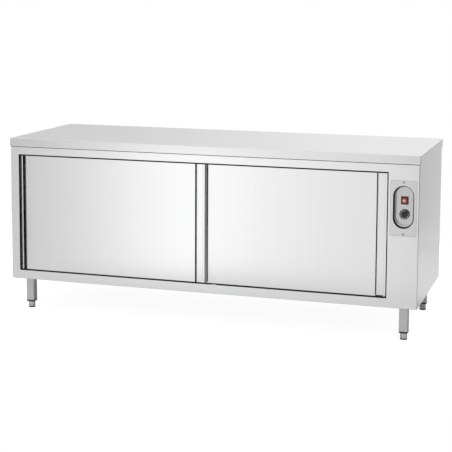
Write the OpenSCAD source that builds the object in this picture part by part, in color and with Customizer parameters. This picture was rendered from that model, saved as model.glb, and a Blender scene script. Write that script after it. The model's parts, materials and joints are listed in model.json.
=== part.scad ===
// Hot cupboard with two sliding doors, a recessed control well and adjustable feet.
// Millimetres, +Z up, front towards -Y, origin on the floor under the middle of the worktop.

/* [Overall] */
// Width over the worktop
width = 2000; // [1600:10:2400]
// Depth over the worktop
depth = 700; // [600:10:800]
// Height of the worktop above the floor
height = 850; // [800:5:950]

/* [Worktop] */
// Height of the turned-down edge
edge_h = 40; // [34:1:60]
// Sheet thickness of the worktop
top_sheet = 1.5; // [1:0.1:2]
// Width of the flange folded in under the edge
edge_flange = 14; // [8:1:30]
// Overhang past each end of the carcass
side_overhang = 4; // [2:0.5:20]
// Overhang past the front frame
front_overhang = 2; // [2:0.5:20]
// Overhang past the back panel
back_overhang = 4; // [2:0.5:20]
// Thickness of the board bonded under the sheet
core_t = 18; // [10:1:22]
// Number of bearers under the board
bearer_count = 5; // [3:1:9]
// Width of one bearer
bearer_w = 60; // [40:2:90]

/* [Carcass] */
// Sheet thickness of panels, frame and liner
sheet = 1; // [0.8:0.1:1.5]
// Floor to the underside of the carcass
carcass_z = 158; // [130:1:220]
// Width of the left stile
stile_w = 41; // [30:1:70]
// Width of the control column on the right
column_w = 138; // [130:1:180]
// Height of the top rail
top_rail_h = 38; // [38:1:70]
// Height of the bottom rail
bottom_rail_h = 43; // [38:1:70]
// Depth of the folded returns round the door opening
return_d = 14; // [10:1:20]
// Thickness of the insulated back wall
back_wall = 40; // [25:1:60]

/* [Doors] */
// Thickness of one door
door_t = 32; // [30:1:45]
// Sheet thickness of the doors
door_sheet = 1; // [0.8:0.1:1.5]
// Clearance behind the frame's returns
door_run = 4; // [2:0.5:10]
// Clearance between the two doors
door_gap = 14; // [10:1:25]
// Clearance between the rear door and the liner
liner_gap = 6; // [3:0.5:15]
// Overlap of the closed doors in the middle
door_overlap = 98; // [60:1:160]
// Gap at the left jamb with the left door closed
left_gap = 1.5; // [1:0.5:15]
// Gap at the right jamb with the right door closed
right_gap = 15.5; // [2:0.5:20]
// Door top below the top rail's lower edge
top_gap = 7; // [4:0.5:15]
// Door bottom below the bottom rail's upper edge
door_drop = 9; // [0:0.5:12]
// Width of the finger-pull channel at each door end
pull_w = 36; // [24:1:45]
// Depth left behind the channel
pull_back = 13; // [3:0.5:16]
// Width of the lip outside the channel
lip_w = 12; // [8:1:25]

/* [Running gear] */
// Radius of a door wheel
wheel_r = 12; // [8:0.5:13]
// Width of a door wheel
wheel_w = 8; // [5:0.5:10]
// Distance of the wheels and glides from the door ends
wheel_inset = 140; // [90:5:250]
// Radius of a wheel axle
axle_r = 3; // [2:0.5:4]
// Radial play of shafts and pins in their bores
play = 0.05; // [0.02:0.01:0.1]
// Clearance between pieces that pass each other
clear = 0.3; // [0.2:0.05:0.6]
// Thickness of the hanging track
track_t = 2; // [1.5:0.5:3]
// Thickness of a hanger bracket
hanger_t = 3; // [2:0.5:4]
// Width of a hanger bracket
hanger_w = 50; // [36:2:80]
// Depth of the guide trough below the doors
trough_gap = 12; // [10:0.5:18]
// Thickness of a glide's tongue
tongue_t = 4; // [3:0.5:6]
// Width of a rubber door buffer
buffer_w = 16; // [8:1:20]

/* [Shelf] */
// Height of the shelf above the cupboard floor
shelf_h = 275; // [220:5:330]
// Depth of the shelf's turned-down edge
shelf_edge = 30; // [15:1:50]
// Clearance round the shelf
shelf_gap = 3; // [2:0.5:10]
// Set-back of the shelf from the liner's front
shelf_setback = 40; // [20:5:120]
// Leg width of the shelf supports
support_leg = 25; // [15:1:40]

/* [Controls] */
// Width of the control plate
plate_w = 118; // [112:1:124]
// Height of the control plate
plate_h = 250; // [225:1:300]
// Thickness of the control plate
plate_t = 0.8; // [0.5:0.1:1]
// Worktop underside to the top of the plate
plate_drop = 73; // [20:1:120]
// Width of the control well
well_w = 94; // [86:1:100]
// Height of the control well
well_h = 193; // [175:1:205]
// Depth of the control well
well_d = 34; // [26:1:50]
// Well centre above the plate centre
well_up = 5; // [0:0.5:8]
// Width of the rubber trim round the well
trim_w = 3; // [2:0.5:4]
// Radius of a plate screw's shank
screw_r = 2; // [1.5:0.25:2.5]
// Switch centre above the well centre
switch_up = 26; // [20:1:34]
// Width of the switch bezel
switch_w = 34; // [26:1:36]
// Height of the switch bezel
switch_h = 37; // [34:1:42]
// Tilt of the rocker to either side
rocker_tilt = 8; // [4:1:10]
// Knob centre below the well centre
knob_down = 36; // [30:1:44]
// Radius of the knob's skirt
knob_r = 23; // [16:0.5:26]
// Height of the knob
knob_h = 18; // [14:0.5:22]
// Radius of the thermostat shaft
shaft_r = 3; // [2:0.5:4]

/* [Heating] */
// Depth of the heater box behind the right wall
box_d = 62; // [56:1:70]
// Half width of the heater box
box_half = 110; // [105:1:130]
// Gap between the heating ring and the box wall
ring_gap = 18; // [12:1:30]
// Gap between the fan wheel and the heating ring
fan_gap = 17; // [12:1:30]
// Number of fan blades
blade_count = 16; // [8:1:24]
// Radius of the heating tube
tube_r = 4; // [3:0.5:5]
// Radius of the fan motor
motor_r = 35; // [25:1:45]
// Length of the fan motor
motor_l = 45; // [30:1:50]

/* [Legs] */
// Width of the square leg tube
leg_w = 40; // [30:1:50]
// Wall of the leg tube
leg_wall = 1.5; // [1:0.1:2.5]
// Leg axis to the end of the worktop
leg_inset = 72; // [50:1:150]
// Front leg axis to the worktop's front edge
leg_front = 74; // [60:1:150]
// Rear leg axis to the worktop's back edge
leg_back = 60; // [50:1:150]
// Height of the foot below the plastic insert
foot_h = 31; // [20:1:45]
// Radius of the foot
foot_r = 15.5; // [12:0.5:19]
// Height of the insert's collar
collar_h = 8; // [4:0.5:12]
// Travel of the adjustable foot
foot_travel = 30; // [15:1:40]

/* [Hidden] */
$fn = 48;

// Overshoot of a cut past its face, and overlap of shapes joined in one piece
over = 1;

// Carcass planes
x_l = -width / 2 + side_overhang;
x_r = width / 2 - side_overhang;
y_f = -depth / 2 + front_overhang;
y_b = depth / 2 - back_overhang;
z_0 = carcass_z;
z_1 = height - edge_h;

// Door opening in the front frame
open_x0 = x_l + stile_w;
open_x1 = x_r - column_w;
open_z0 = z_0 + bottom_rail_h;
open_z1 = z_1 - top_rail_h;

// Door planes
y_ret = y_f + return_d;
y_front = y_ret + door_run;
y_rear = y_front + door_t + door_gap;
y_liner = y_rear + door_t + liner_gap;
y_wall = y_b - back_wall;
door_w = (open_x1 - open_x0 - left_gap - right_gap + door_overlap) / 2;
door_z0 = open_z0 - door_drop;
door_z1 = open_z1 - top_gap;
x_left = open_x0 + left_gap;
x_right = open_x1 - right_gap - door_w;
pull_d = door_t - pull_back;

// Hanging gear, with depths counted from a door's front face
web_y = 2;
head_t = 1.5;
head_gap = 1;
lip_gap = 2;
wheel_y = web_y + track_t + head_t + head_gap;
lip_y = wheel_y + wheel_w + lip_gap;
hang_y = lip_y + track_t + lip_gap;
wheel_room = 5;
wheel_z = z_1 - sheet - track_t - wheel_room - wheel_r;
ledge_z = wheel_z - wheel_r - clear;
lip_up = 2;
boss_t = 2;
boss_r = axle_r + boss_t;
hanger_edge = 3;
hanger_top = wheel_z + boss_r + hanger_edge;

// Guide trough, with depths counted from a door's front face
trough_z = door_z0 - trough_gap;
glide_t = 2;
guide_gap = 1.5;
guide_z = door_z0 - glide_t - guide_gap;
guide_y = door_t / 2;
tongue_gap = 2;
glide_edge = 3;
tongue_edge = 5;

// Controls, centred on the column
col_x = (open_x1 + x_r) / 2;
plate_z = z_1 - plate_drop - plate_h / 2;
well_z = plate_z + well_up;
y_plate = y_f - plate_t;
well_floor = y_plate + well_d;
switch_z = well_z + switch_up;
knob_z = well_z - knob_down;
screw_edge = 8;
screw_up = plate_h / 2 - screw_edge;
screw_hold = 4;
screw_head_h = 0.9;
screw_head_edge = 1.5;
trim_proud = 0.6;
well_flange = 5;
bezel_t = 2.5;
bezel_edge = 3.5;
switch_wall = 1.2;
pivot_back = 4;
pivot_r = 1.5;
switch_d = 22;
thermo_w = 45;
thermo_d = 30;
shaft_in = 20;
shaft_gap = 0.5;
knob_lift = 0.6;
knob_cap = 5;

// Heater box behind the right wall
box_margin = 15;
box_x0 = open_x1 + sheet;
box_x1 = box_x0 + box_d;
box_behind = 60;
box_y0 = y_liner + box_behind;
fan_y = box_y0 + box_half;
fan_z = open_z0 + box_margin + box_half;
ring_r = box_half - ring_gap;
fan_r = ring_r - fan_gap;
fan_front = 8;
fan_x0 = box_x0 + fan_front;
fan_w = 40;
fan_plate = 2;
fan_hub_r = 12;
fan_shaft_r = 4;
fan_shaft_gap = 1;
motor_end = 12;
ring_x = fan_x0 + fan_w / 2;
ring_sweep = 330;
stub_turn = 4;
stub_angles = [stub_turn, ring_sweep - stub_turn];
stub_step = 1;
stub_r = tube_r - stub_step;
stub_out = 12;
intake_edge = 5;
intake_r = fan_r - intake_edge;
slot_h = 6;
slot_pitch = 16;
slot_edge = 2;
outlet_up = 50;
outlet_edge = 20;
outlet_pitch = 25;
outlet_count = 6;
cutout_up = 60;

// Shelf and legs
shelf_z = open_z0 + shelf_h;
leg_z = foot_h + collar_h;
leg_cap = 3;
flange_edge = 15;
leg_flange = leg_w / 2 + flange_edge;
plug_h = 25;
spindle_r = 5;
pad_h = 5;
spindle_hold = 15;
spindle_top = foot_h + foot_travel + spindle_hold;
gland_r = 10;
gland_bore = 4.5;
gland_back = 150;
gland_y = y_b - gland_back;
block_ahead = 90;
bearer_gap = 10;
support_gap = 5;

module span(a, b) {
  translate(a) cube(b - a);
}

// A cylinder along +Y from the point p
module rod_y(p, r, l) {
  translate(p) rotate([-90, 0, 0]) cylinder(r = r, h = l);
}

// A cylinder along +X from the point p
module rod_x(p, r, l) {
  translate(p) rotate([0, 90, 0]) cylinder(r = r, h = l);
}

// An upright stadium of width w and height h, from depth y0 to y1, on the well's centre
module stadium(w, h, y0, y1) {
  for (s = [-1, 1])
    rod_y([col_x, y0, well_z + s * (h - w) / 2], w / 2, y1 - y0);
  span([col_x - w / 2, y0, well_z - (h - w) / 2], [col_x + w / 2, y1, well_z + (h - w) / 2]);
}

// Worktop

module worktop() {
  color("gainsboro") difference() {
    span([-width / 2, -depth / 2, z_1], [width / 2, depth / 2, height]);
    span([-width / 2 + top_sheet, -depth / 2 + top_sheet, z_1 + top_sheet],
         [width / 2 - top_sheet, depth / 2 - top_sheet, height - top_sheet]);
    span([-width / 2 + edge_flange, -depth / 2 + edge_flange, z_1 - over],
         [width / 2 - edge_flange, depth / 2 - edge_flange, z_1 + top_sheet + over]);
  }
}

module worktop_core() {
  color("burlywood")
    span([-width / 2 + top_sheet, -depth / 2 + top_sheet, height - top_sheet - core_t],
         [width / 2 - top_sheet, depth / 2 - top_sheet, height - top_sheet]);
}

module worktop_bearers() {
  run = width - 2 * (edge_flange + bearer_gap) - bearer_w;
  half = depth / 2 - edge_flange - bearer_gap;
  top = height - top_sheet - core_t;
  color("silver") for (i = [0 : bearer_count - 1])
    translate([(i / (bearer_count - 1) - 0.5) * run - bearer_w / 2, 0, 0]) difference() {
      span([0, -half, z_1], [bearer_w, half, top]);
      span([sheet, -half - over, z_1 + sheet], [bearer_w - sheet, half + over, top - sheet]);
    }
}

// Carcass panels

module top_panel() {
  color("silver") span([x_l + sheet, y_f + sheet, z_1 - sheet], [x_r - sheet, y_b - sheet, z_1]);
}

module base_panel() {
  color("silver") difference() {
    span([x_l + sheet, y_f + sheet, z_0], [x_r - sheet, y_b - sheet, z_0 + sheet]);
    translate([col_x, gland_y, z_0 - over]) cylinder(r = gland_r + play, h = sheet + 2 * over);
  }
}

module left_panel() {
  color("silver") span([x_l, y_f + sheet, z_0], [x_l + sheet, y_b - sheet, z_1]);
}

module right_panel() {
  color("silver") span([x_r - sheet, y_f + sheet, z_0], [x_r, y_b - sheet, z_1]);
}

module back_panel() {
  color("silver") span([x_l, y_b - sheet, z_0], [x_r, y_b, z_1]);
}

// Front frame

module left_stile() {
  color("gainsboro") {
    span([x_l, y_f, z_0], [open_x0, y_f + sheet, z_1]);
    span([open_x0 - sheet, y_f, z_0 + sheet], [open_x0, y_ret, z_1 - sheet]);
  }
}

module top_rail() {
  color("gainsboro") {
    span([open_x0, y_f, open_z1], [open_x1, y_f + sheet, z_1]);
    span([open_x0, y_f, open_z1], [open_x1, y_ret, open_z1 + sheet]);
  }
}

module bottom_rail() {
  color("gainsboro") {
    span([open_x0, y_f, z_0], [open_x1, y_f + sheet, open_z0]);
    span([open_x0, y_f, open_z0 - sheet], [open_x1, y_ret, open_z0]);
    span([open_x0, y_ret - sheet, trough_z - track_t], [open_x1, y_ret, open_z0]);
  }
}

module control_column() {
  color("gainsboro") difference() {
    union() {
      span([open_x1, y_f, z_0], [x_r, y_f + sheet, z_1]);
      span([open_x1, y_f, z_0 + sheet], [open_x1 + sheet, y_ret, z_1 - sheet]);
    }
    stadium(well_w + 2 * play, well_h + 2 * play, y_f - over, y_f + sheet + over);
    for (s = [-1, 1])
      rod_y([col_x, y_f - over, plate_z + s * screw_up], screw_r + play, sheet + 2 * over);
  }
}

// Inner liner and insulation

module liner_left() {
  color("lightgray")
    span([open_x0 - sheet, y_ret, z_0 + sheet], [open_x0, y_wall + sheet, z_1 - sheet]);
}

module air_panel() {
  rows = floor(intake_r / slot_pitch);
  color("lightgray") difference() {
    span([open_x1, y_ret, z_0 + sheet], [open_x1 + sheet, y_wall + sheet, z_1 - sheet]);
    // Intake slots follow the round fan inlet
    for (i = [-rows : rows]) {
      half = sqrt(pow(intake_r, 2) - pow(i * slot_pitch, 2)) - slot_edge;
      slot(fan_y, fan_z + i * slot_pitch, half);
    }
    // Outlet slots above the shelf
    for (i = [0 : outlet_count - 1])
      slot(fan_y, shelf_z + outlet_up + i * outlet_pitch, box_half - outlet_edge);
  }
}

module slot(y, z, half) {
  span([open_x1 - over, y - half, z - slot_h / 2], [open_x1 + sheet + over, y + half, z + slot_h / 2]);
}

module liner_back() {
  color("lightgray") span([open_x0, y_wall, z_0 + sheet], [open_x1, y_wall + sheet, z_1 - sheet]);
}

module liner_ceiling() {
  color("lightgray") {
    span([open_x0, y_liner, open_z1], [open_x1, y_wall, open_z1 + sheet]);
    span([open_x0, y_liner, open_z1], [open_x1, y_liner + sheet, z_1 - sheet]);
  }
}

module liner_floor() {
  color("lightgray") {
    span([open_x0, y_liner, open_z0 - sheet], [open_x1, y_wall, open_z0]);
    span([open_x0, y_liner, z_0 + sheet], [open_x1, y_liner + sheet, open_z0]);
  }
}

module insulation() {
  color("khaki") {
    span([x_l + sheet, y_f + sheet, z_0 + sheet], [open_x0 - sheet, y_wall + sheet, z_1 - sheet]);
    span([x_l + sheet, y_wall + sheet + clear, z_0 + sheet], [open_x1 + sheet, y_b - sheet, z_1 - sheet]);
    span([open_x0, y_liner + sheet, z_0 + sheet], [open_x1, y_wall, open_z0 - sheet]);
    span([open_x0, y_liner + sheet, open_z1 + sheet], [open_x1, y_wall, z_1 - sheet]);
  }
}

// Shelf

module shelf() {
  x0 = open_x0 + shelf_gap;
  x1 = open_x1 - shelf_gap;
  y0 = y_liner + shelf_setback;
  y1 = y_wall - shelf_gap;
  color("lightgray") {
    span([x0, y0, shelf_z - sheet], [x1, y1, shelf_z]);
    for (y = [y0, y1 - sheet])
      span([x0, y, shelf_z - shelf_edge], [x1, y + sheet, shelf_z]);
  }
}

module shelf_supports() {
  y0 = y_liner + shelf_setback + sheet + support_gap;
  y1 = y_wall - shelf_gap - sheet - support_gap;
  top = shelf_z - sheet;
  color("silver") for (s = [[open_x0, 1], [open_x1, -1]])
    translate([s[0], 0, 0]) mirror([s[1] < 0 ? 1 : 0, 0, 0]) {
      span([0, y0, top - support_leg], [2 * sheet, y1, top]);
      span([0, y0, top - 2 * sheet], [shelf_gap + support_leg, y1, top]);
    }
}

// Door running gear on the carcass

module top_track() {
  z_hang = z_1 - sheet;
  color("darkgray") {
    span([open_x0, y_front + web_y, z_hang - track_t],
         [open_x1, y_rear + lip_y + track_t, z_hang]);
    for (y = [y_front, y_rear]) {
      span([open_x0, y + web_y, ledge_z - track_t], [open_x1, y + web_y + track_t, z_hang]);
      span([open_x0, y + web_y, ledge_z - track_t], [open_x1, y + lip_y + track_t, ledge_z]);
      span([open_x0, y + lip_y, ledge_z - track_t], [open_x1, y + lip_y + track_t, ledge_z + lip_up]);
    }
  }
}

module bottom_guide() {
  groove = tongue_t / 2 + clear;
  color("dimgray") difference() {
    union() {
      span([open_x0, y_ret, trough_z - track_t], [open_x1, y_liner, guide_z]);
      for (y = [y_ret, y_liner - track_t])
        span([open_x0, y, z_0 + sheet], [open_x1, y + track_t, trough_z]);
    }
    for (y = [y_front, y_rear])
      span([open_x0 - over, y + guide_y - groove, trough_z],
           [open_x1 + over, y + guide_y + groove, guide_z + over]);
  }
}

module door_buffers() {
  color("dimgray") for (y = [y_front, y_rear]) {
    buffer(open_x0, open_x0 + left_gap - clear, y);
    buffer(open_x1 - right_gap + clear, open_x1, y);
  }
}

// A buffer stands on the guide, below the sill's edge
module buffer(x0, x1, y) {
  y0 = y + (door_t - buffer_w) / 2;
  span([x0, y0, guide_z], [x1, y0 + buffer_w, open_z0 - sheet]);
}

// Sliding doors, each drawn from its own left front corner at x, y

module skin_profile() {
  inner = lip_w + pull_w;
  translate([inner, 0]) square([door_w - 2 * inner, door_sheet]);
  for (s = [0, 1])
    translate([s * door_w, 0]) mirror([s, 0]) {
      square([lip_w, door_sheet]);
      square([door_sheet, door_t - door_sheet]);
      translate([lip_w - door_sheet, 0]) square([door_sheet, pull_d]);
      translate([inner, 0]) square([door_sheet, pull_d]);
      translate([lip_w - door_sheet, pull_d - door_sheet]) square([pull_w + 2 * door_sheet, door_sheet]);
    }
}

// The space between a door's skins, without the two channels
module inside_profile() {
  difference() {
    translate([door_sheet, door_sheet]) square([door_w - 2 * door_sheet, door_t - 2 * door_sheet]);
    for (x = [lip_w - door_sheet, door_w - lip_w - pull_w - door_sheet])
      translate([x, 0]) square([pull_w + 2 * door_sheet, pull_d]);
  }
}

module door_skin(x, y) {
  color("gainsboro") translate([x, y, door_z0]) linear_extrude(door_z1 - door_z0) skin_profile();
}

module door_back(x, y) {
  color("lightgray") {
    span([x, y + door_t - door_sheet, door_z0], [x + door_w, y + door_t, door_z1]);
    for (z = [door_z0, door_z1 - door_sheet])
      translate([x, y, z]) linear_extrude(door_sheet) inside_profile();
  }
}

module door_core(x, y) {
  color("khaki") translate([x, y, door_z0 + door_sheet])
    linear_extrude(door_z1 - door_z0 - 2 * door_sheet) inside_profile();
}

module door_hangers(x, y) {
  color("silver") for (dx = [wheel_inset, door_w - wheel_inset])
    translate([x + dx, y, 0]) {
      span([-hanger_w / 2, hang_y, door_z1], [hanger_w / 2, hang_y + hanger_t, hanger_top]);
      span([-hanger_w / 2, hang_y, door_z1], [hanger_w / 2, door_t - door_sheet, door_z1 + hanger_t]);
      rod_y([0, wheel_y - clear - head_t, wheel_z], boss_r, head_t);
      rod_y([0, wheel_y - clear - head_t, wheel_z], axle_r, hang_y - wheel_y + clear + head_t + over);
      rod_y([0, wheel_y + wheel_w + clear, wheel_z], boss_r, hang_y - wheel_y - wheel_w - clear + over);
    }
}

module door_glides(x, y) {
  base_y = door_t / 2 - glide_edge;
  tongue_x = hanger_w / 2 - tongue_edge;
  color("white") for (dx = [wheel_inset, door_w - wheel_inset])
    translate([x + dx, y + guide_y, 0]) {
      span([-hanger_w / 2, -base_y, door_z0 - glide_t], [hanger_w / 2, base_y, door_z0]);
      span([-tongue_x, -tongue_t / 2, trough_z + tongue_gap], [tongue_x, tongue_t / 2, door_z0]);
    }
}

// A wheel on the first (n = 0) or second (n = 1) hanger of a door
module wheel(x, y, n) {
  dx = n == 0 ? wheel_inset : door_w - wheel_inset;
  color("white") difference() {
    rod_y([x + dx, y + wheel_y, wheel_z], wheel_r, wheel_w);
    rod_y([x + dx, y + wheel_y - over, wheel_z], axle_r + play, wheel_w + 2 * over);
  }
}

module door_left_skin() { door_skin(x_left, y_front); }
module door_left_back() { door_back(x_left, y_front); }
module door_left_core() { door_core(x_left, y_front); }
module door_left_hangers() { door_hangers(x_left, y_front); }
module door_left_glides() { door_glides(x_left, y_front); }
module wheel_left_1() { wheel(x_left, y_front, 0); }
module wheel_left_2() { wheel(x_left, y_front, 1); }
module door_right_skin() { door_skin(x_right, y_rear); }
module door_right_back() { door_back(x_right, y_rear); }
module door_right_core() { door_core(x_right, y_rear); }
module door_right_hangers() { door_hangers(x_right, y_rear); }
module door_right_glides() { door_glides(x_right, y_rear); }
module wheel_right_1() { wheel(x_right, y_rear, 0); }
module wheel_right_2() { wheel(x_right, y_rear, 1); }

// Controls

module control_plate() {
  color("silver") difference() {
    span([col_x - plate_w / 2, y_plate, plate_z - plate_h / 2],
         [col_x + plate_w / 2, y_f, plate_z + plate_h / 2]);
    stadium(well_w + 2 * play, well_h + 2 * play, y_plate - over, y_f + over);
    for (s = [-1, 1])
      rod_y([col_x, y_plate - over, plate_z + s * screw_up], screw_r + play, plate_t + 2 * over);
  }
}

module control_well() {
  cup_w = well_w - 2 * trim_w;
  cup_h = well_h - 2 * trim_w;
  hole_x = switch_w / 2 - bezel_edge + play;
  hole_z = switch_h / 2 - bezel_edge + play;
  color("silver") difference() {
    union() {
      stadium(cup_w, cup_h, y_f + sheet, well_floor + sheet);
      stadium(well_w + 2 * well_flange, well_h + 2 * well_flange, y_f + sheet, y_f + 2 * sheet);
    }
    stadium(cup_w - 2 * sheet, cup_h - 2 * sheet, y_f, well_floor);
    span([col_x - hole_x, well_floor - over, switch_z - hole_z],
         [col_x + hole_x, well_floor + sheet + over, switch_z + hole_z]);
    rod_y([col_x, well_floor - over, knob_z], shaft_r + shaft_gap, sheet + 2 * over);
  }
}

module well_trim() {
  color("dimgray") difference() {
    stadium(well_w, well_h, y_plate - trim_proud, y_f + sheet);
    stadium(well_w - 2 * trim_w, well_h - 2 * trim_w, y_plate - trim_proud - over, y_f + sheet + over);
  }
}

module plate_screws() {
  color("lightgray") for (s = [-1, 1]) {
    rod_y([col_x, y_plate, plate_z + s * screw_up], screw_r, plate_t + sheet + screw_hold);
    rod_y([col_x, y_plate - screw_head_h, plate_z + s * screw_up], screw_r + screw_head_edge, screw_head_h);
  }
}

module switch_housing() {
  inner_w = switch_w - 2 * bezel_edge;
  inner_h = switch_h - 2 * bezel_edge;
  cup_x = inner_w / 2 - switch_wall;
  cup_z = inner_h / 2 - switch_wall;
  face = well_floor - bezel_t;
  color("black") difference() {
    union() {
      span([col_x - switch_w / 2, face, switch_z - switch_h / 2],
           [col_x + switch_w / 2, well_floor, switch_z + switch_h / 2]);
      span([col_x - inner_w / 2, face, switch_z - inner_h / 2],
           [col_x + inner_w / 2, face + switch_d, switch_z + inner_h / 2]);
    }
    span([col_x - cup_x, face - over, switch_z - cup_z],
         [col_x + cup_x, face + switch_d - switch_wall, switch_z + cup_z]);
    rod_x([col_x - cup_x - over, face + pivot_back, switch_z], pivot_r + play, 2 * (cup_x + over));
  }
}

module rocker() {
  half_w = switch_w / 2 - bezel_edge - switch_wall - clear;
  reach = switch_h / 2 - bezel_edge - switch_wall - 2 * clear;
  pin_hold = 0.6;
  pin_out = clear + pin_hold;
  rise = 3.5;
  half_h = sqrt(pow(reach, 2) - pow(rise, 2));
  color("red") translate([col_x, well_floor - bezel_t + pivot_back, switch_z]) {
    // The face is a shallow vee, and every corner stays within its reach from the pivot
    rotate([rocker_tilt, 0, 0]) rotate([90, 0, 90]) translate([0, 0, -half_w]) linear_extrude(2 * half_w)
      polygon([[-rise, half_h], [-rise / 2, 0], [-rise, -half_h], [rise, -half_h], [2 * rise, -half_h / 2],
               [2 * rise, half_h / 2], [rise, half_h]]);
    rod_x([-half_w - pin_out, 0, 0], pivot_r, 2 * (half_w + pin_out));
  }
}

module knob() {
  skirt_t = 5;
  skirt_edge = 6.5;
  grip_r = knob_r - skirt_edge;
  grip_draft = 2;
  bar_w = 7;
  bar_h = 4;
  bar_edge = 3;
  bar_l = 2 * (grip_r - bar_edge);
  back = well_floor - knob_lift;
  color("black") difference() {
    translate([col_x, back, knob_z]) rotate([90, 0, 0]) {
      cylinder(r = knob_r, h = skirt_t);
      cylinder(r1 = grip_r, r2 = grip_r - grip_draft, h = knob_h - bar_h);
      translate([-bar_w / 2, -bar_l / 2, 0]) cube([bar_w, bar_l, knob_h]);
    }
    rod_y([col_x, back - knob_h + knob_cap, knob_z], shaft_r + play, knob_h);
  }
}

module thermostat_shaft() {
  front = well_floor - knob_lift - knob_h + knob_cap + over;
  color("lightgray") rod_y([col_x, front, knob_z], shaft_r, well_floor + sheet + shaft_in - front);
}

module thermostat_body() {
  back = well_floor + sheet;
  color("dimgray") difference() {
    span([col_x - thermo_w / 2, back, knob_z - thermo_w / 2],
         [col_x + thermo_w / 2, back + thermo_d, knob_z + thermo_w / 2]);
    rod_y([col_x, back - over, knob_z], shaft_r + play, shaft_in + 2 * over);
  }
}

// Heating and wiring compartment behind the control column

module safety_cutout() {
  z = shelf_z + cutout_up;
  case_w = 40;
  case_d = 28;
  case_h = 50;
  button_r = 6;
  button_h = 8;
  color("dimgray") {
    span([box_x1, fan_y - case_w / 2, z], [box_x1 + case_d, fan_y + case_w / 2, z + case_h]);
    rod_x([box_x1 + case_d - over, fan_y, z + case_h / 2], button_r, button_h + over);
  }
}

module terminal_block() {
  y = gland_y - block_ahead;
  base = z_0 + sheet;
  half = 15;
  block_h = 20;
  pocket_z = 8;
  rib = 4;
  ways = 5;
  pitch = 11;
  color("ivory") difference() {
    span([col_x - half, y, base], [col_x + half, y + ways * pitch + rib, base + block_h]);
    for (i = [0 : ways - 1])
      span([col_x - half + rib, y + rib + i * pitch, base + pocket_z],
           [col_x + half - rib, y + (i + 1) * pitch, base + block_h + over]);
  }
}

module cable_gland() {
  nut_h = 6;
  nut_edge = 5;
  lock_edge = 4;
  dome_h = 16;
  dome_edge = 1;
  thread_out = 2;
  thread_l = sheet + nut_h + thread_out;
  color("black") translate([col_x, gland_y, 0]) difference() {
    union() {
      translate([0, 0, z_0 - dome_h]) cylinder(r = gland_r + dome_edge, h = dome_h);
      translate([0, 0, z_0 - nut_h]) cylinder(r = gland_r + nut_edge, h = nut_h, $fn = 6);
      translate([0, 0, z_0 - over]) cylinder(r = gland_r, h = thread_l + over);
      translate([0, 0, z_0 + sheet]) cylinder(r = gland_r + lock_edge, h = nut_h, $fn = 6);
    }
    translate([0, 0, z_0 - dome_h - over]) cylinder(r = gland_bore, h = dome_h + thread_l + 2 * over);
  }
}

// Turns a shape drawn round +Z at the origin to lie round the fan axis at the distance x
module on_fan_axis(x) {
  translate([x, fan_y, fan_z]) rotate([0, 90, 0]) children();
}

module heater_box() {
  color("silver") difference() {
    span([box_x0, fan_y - box_half, open_z0 + box_margin],
         [box_x1, fan_y + box_half, open_z1 - box_margin]);
    span([box_x0 - over, fan_y - box_half + sheet, open_z0 + box_margin + sheet],
         [box_x1 - sheet, fan_y + box_half - sheet, open_z1 - box_margin - sheet]);
    on_fan_axis(box_x1 - sheet - over) cylinder(r = fan_shaft_r + fan_shaft_gap, h = sheet + 2 * over);
    on_fan_axis(box_x1 - sheet - over) for (a = stub_angles)
      rotate([0, 0, a]) translate([ring_r, 0, 0]) cylinder(r = stub_r + play, h = sheet + 2 * over);
  }
}

module heater_element() {
  color("dimgray") on_fan_axis(ring_x) {
    rotate_extrude(angle = ring_sweep) translate([ring_r, 0]) circle(r = tube_r);
    for (a = stub_angles)
      rotate([0, 0, a]) translate([ring_r, 0, 0]) cylinder(r = stub_r, h = box_x1 - ring_x + stub_out);
  }
}

module fan_motor() {
  flange_out = 8;
  flange_t = 4;
  color("gray") on_fan_axis(box_x1) difference() {
    union() {
      cylinder(r = motor_r, h = motor_l);
      cylinder(r = motor_r + flange_out, h = flange_t);
    }
    translate([0, 0, -over]) cylinder(r = fan_shaft_r + play, h = motor_l - motor_end + 2 * over);
  }
}

module fan_wheel() {
  back = fan_x0 + fan_w;
  hub_l = 22;
  blade_t = 1.5;
  blade_l = 24;
  blade_edge = 2;
  color("lightgray") {
    on_fan_axis(back - fan_plate) cylinder(r = fan_r, h = fan_plate);
    on_fan_axis(back - hub_l) cylinder(r = fan_hub_r, h = hub_l);
    on_fan_axis(back - over) cylinder(r = fan_shaft_r, h = box_x1 + motor_l - motor_end - back + over);
    on_fan_axis(fan_x0) for (i = [0 : blade_count - 1])
      rotate([0, 0, i * 360 / blade_count]) translate([fan_r - blade_edge - blade_l, -blade_t / 2, 0])
        cube([blade_l, blade_t, fan_w - fan_plate / 2]);
  }
}

// Legs and feet

function leg_x(side) = side * (width / 2 - leg_inset);
function leg_y(row) = row < 0 ? -depth / 2 + leg_front : depth / 2 - leg_back;

module at_legs() {
  for (side = [-1, 1])
    for (row = [-1, 1])
      translate([leg_x(side), leg_y(row), 0]) children();
}

module legs() {
  half = leg_w / 2;
  inner = half - leg_wall;
  color("silver") at_legs() difference() {
    union() {
      span([-half, -half, leg_z], [half, half, z_0]);
      span([-leg_flange, -leg_flange, z_0 - leg_cap], [leg_flange, leg_flange, z_0]);
    }
    span([-inner, -inner, leg_z - over], [inner, inner, z_0 - leg_cap]);
  }
}

module foot_inserts() {
  half = leg_w / 2;
  plug = half - leg_wall;
  color("black") at_legs() difference() {
    union() {
      span([-half, -half, foot_h], [half, half, leg_z]);
      span([-plug, -plug, foot_h], [plug, plug, leg_z + plug_h]);
    }
    translate([0, 0, foot_h - over]) cylinder(r = spindle_r + play, h = collar_h + plug_h + 2 * over);
  }
}

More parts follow.
